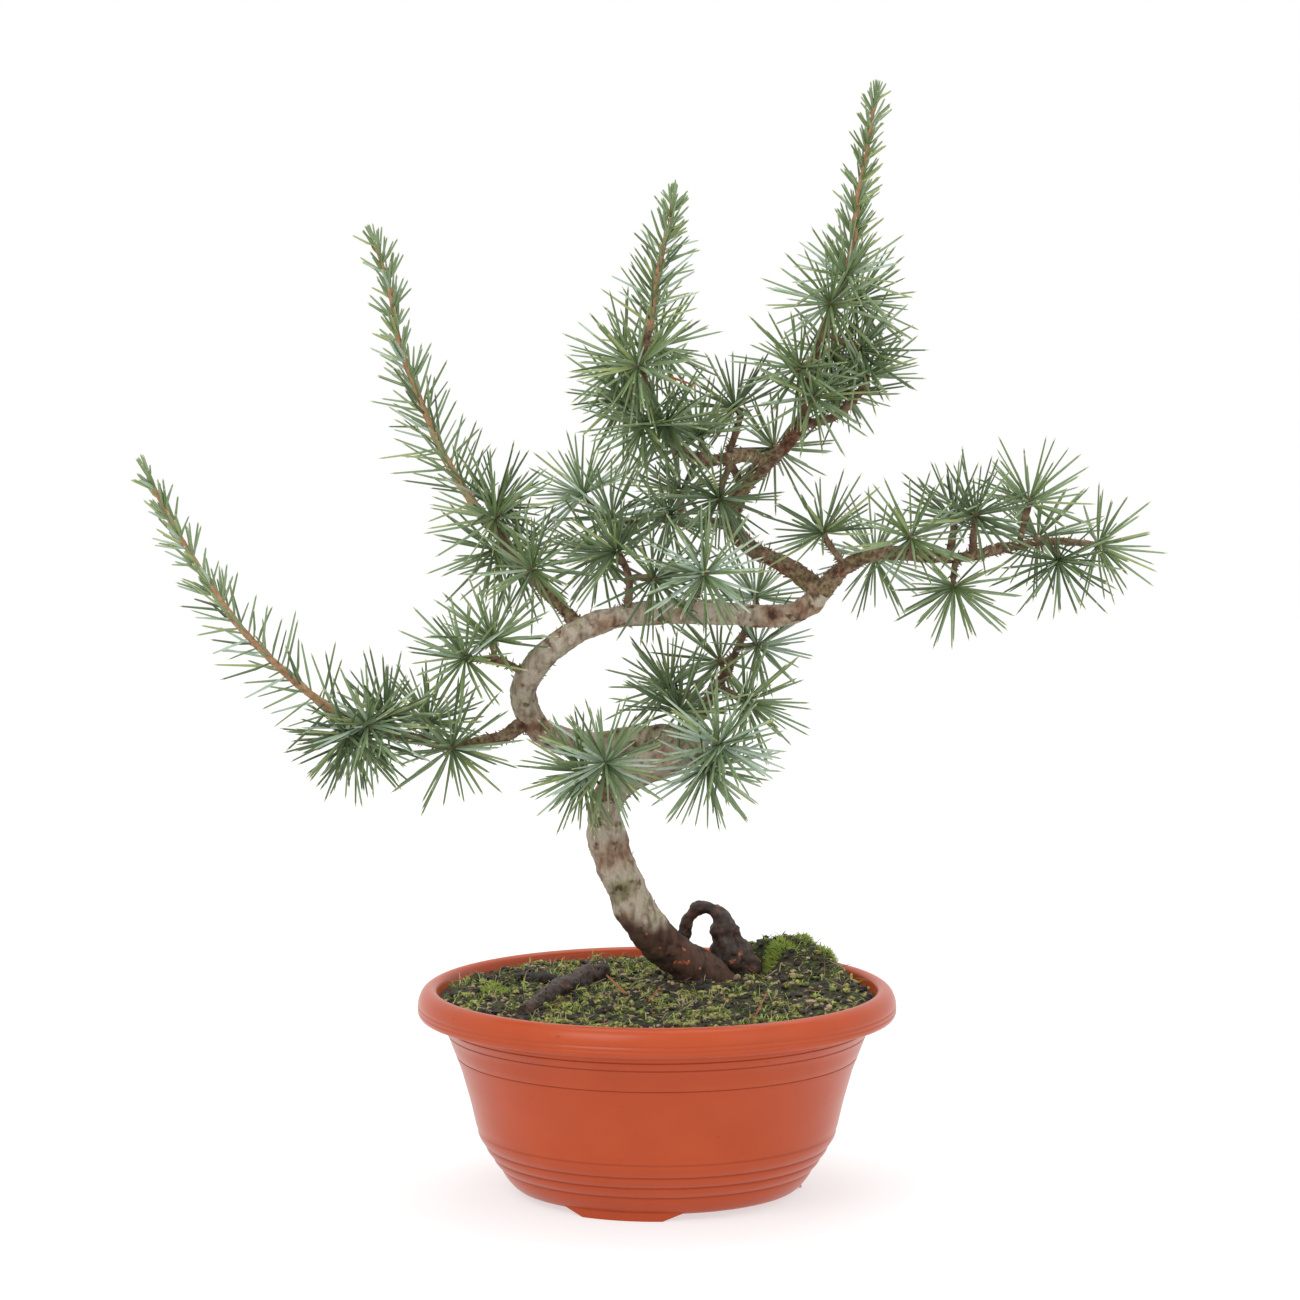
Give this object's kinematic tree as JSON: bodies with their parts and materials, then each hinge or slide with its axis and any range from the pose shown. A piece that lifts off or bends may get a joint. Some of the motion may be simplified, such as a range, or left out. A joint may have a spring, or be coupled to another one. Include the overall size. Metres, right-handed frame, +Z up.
{
  "type": "potted blue atlas cedar bonsai",
  "caption": "Small blue atlas cedar with a sharply bent trunk, swept boughs and rosettes of grey-green needles, rooted in mossy soil in a round orange plastic training pot",
  "frame": {"origin": "on the floor, in the middle of the pot", "axes": "+X to the right as seen from the front, +Y away from the front, +Z up, from the pot to the leader's tip"},
  "size_m": [0.3567, 0.1708, 0.3957],
  "materials": {
    "pot": "smooth terracotta-coloured plastic with a satin sheen",
    "soil": "dark crumbly potting soil with moss, grit and bark chips",
    "bark": "grey-beige flaking bark with olive algae",
    "root_bark": "dark red-brown bark, rough and slightly damp",
    "needles": "waxy blue-green needles with paler tips"
  },
  "bodies": {
    "root": {"pot": "pot", "soil": "soil", "root_loop": "root_bark", "lying_root": "root_bark", "trunk": "bark", "leader": "bark", "right_bough": "bark", "upper_left_bough": "bark", "inner_left_bough": "bark", "low_left_bough": "bark", "left_bough": "bark", "lower_right_bough": "bark", "front_rosettes": "needles", "left_spur": "needles", "low_left_rosettes": "needles", "low_left_shoot": "needles", "low_left_tip": "needles", "left_rosettes": "needles", "left_shoot": "needles", "left_tip": "needles", "upper_left_rosettes": "needles", "upper_left_shoot": "needles", "upper_left_tip": "needles", "upper_left_spur": "needles", "drooping_spur": "needles", "leader_rosettes": "needles", "leader_shoot": "needles", "leader_tip": "needles", "leader_back_spur": "needles", "leader_left_spur": "needles", "leader_right_spur": "needles", "inner_left_rosettes": "needles", "inner_left_low_spur": "needles", "inner_middle_spur": "needles", "inner_back_spur": "needles", "centre_twig": "needles", "centre_star": "needles", "right_first": "needles", "right_behind": "needles", "right_second": "needles", "right_third": "needles", "right_fourth": "needles", "right_hanging": "needles", "right_end": "needles", "lower_right_first": "needles", "lower_right_second": "needles", "lower_right_third": "needles", "lower_right_tip": "needles", "low_right_twig": "needles"}
  },
  "joints": []
}
